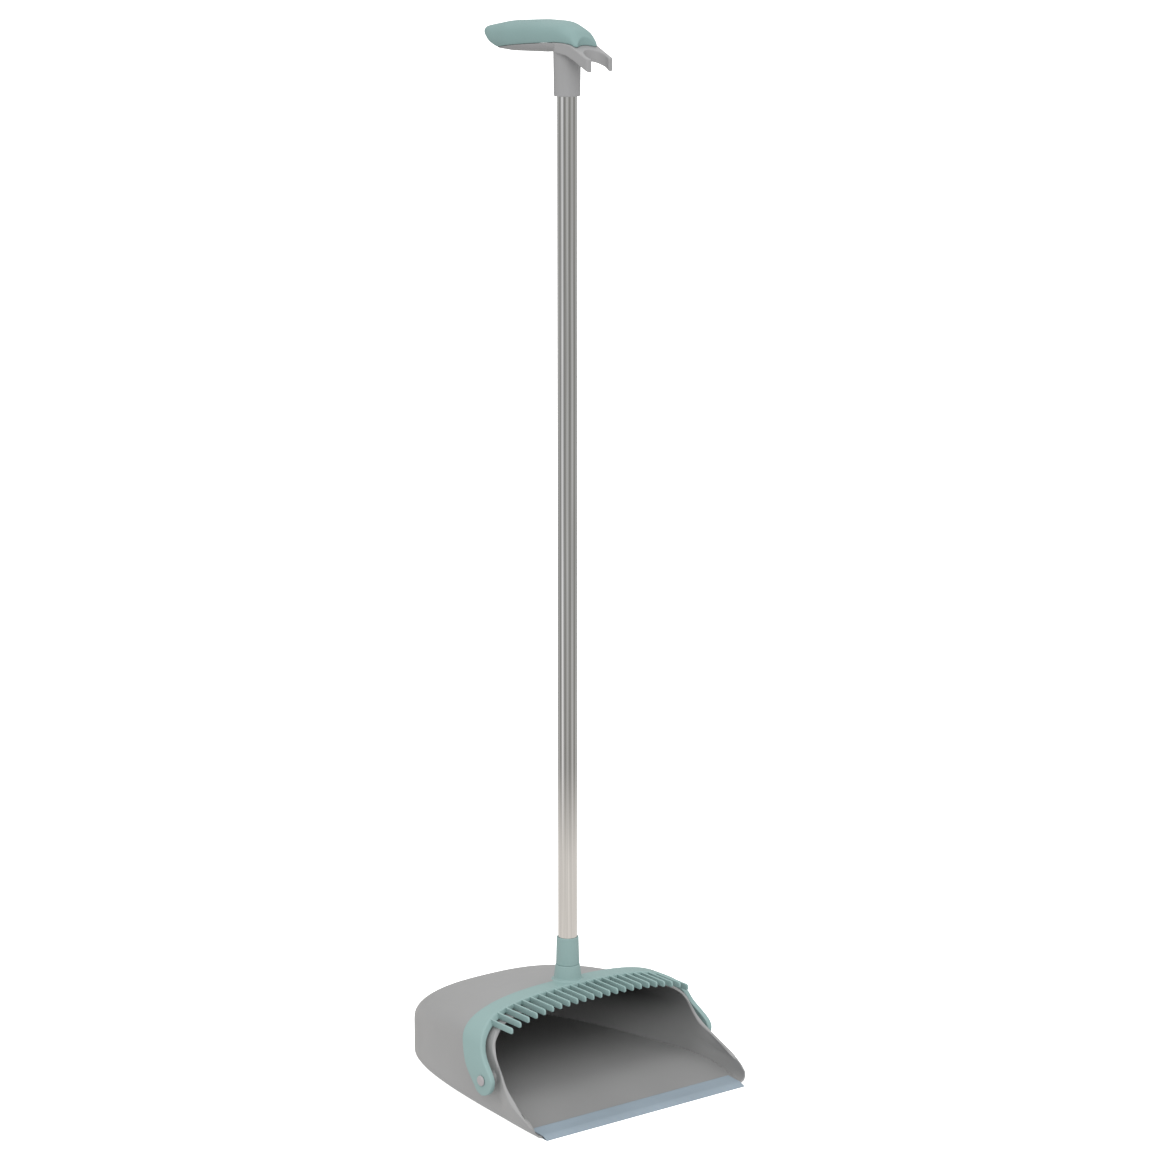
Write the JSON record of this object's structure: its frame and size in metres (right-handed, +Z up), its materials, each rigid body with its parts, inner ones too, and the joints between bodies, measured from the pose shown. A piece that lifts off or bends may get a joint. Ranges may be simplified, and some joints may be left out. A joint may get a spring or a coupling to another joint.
{
  "type": "upright dustpan",
  "caption": "Upright dustpan: a deep hooded pan with a soft lip hangs by pins from a comb-edged bail on a long chromed tube with a hooked grip and a broom clip.",
  "frame": {"origin": "centre of the bounding box's base, on the ground under the pan", "axes": "+Z up along the tube, the lip faces -Y, +X across the width"},
  "size_m": [0.2402, 0.2606, 0.8812],
  "materials": {
    "pan_plastic": "satin moulded",
    "lip_rubber": "satin",
    "pin_plastic": "satin",
    "mint_plastic": "satin moulded",
    "chromed_tube": "polished",
    "handle_plastic": "satin moulded",
    "grip_plastic": "satin moulded",
    "screw_steel": "zinc plated"
  },
  "bodies": {
    "pan": {"pan_body": "pan_plastic", "lip_strip": "lip_rubber", "hinge_pins": "pin_plastic"},
    "pole assembly": {"bail": "mint_plastic", "comb_teeth": "mint_plastic", "pole_coupler": "mint_plastic", "pole_tube": "chromed_tube", "tube_plug": "handle_plastic", "handle_shell": "handle_plastic", "grip_cover": "grip_plastic", "handle_screw": "screw_steel"}
  },
  "joints": [
    {"name": "pan_hinge", "type": "hinge", "parent": "pan", "child": "pole assembly", "pos_m": [0, -0.06096, 0.035], "axis": [1, 0, 0], "range_deg": [0, 90]}
  ]
}
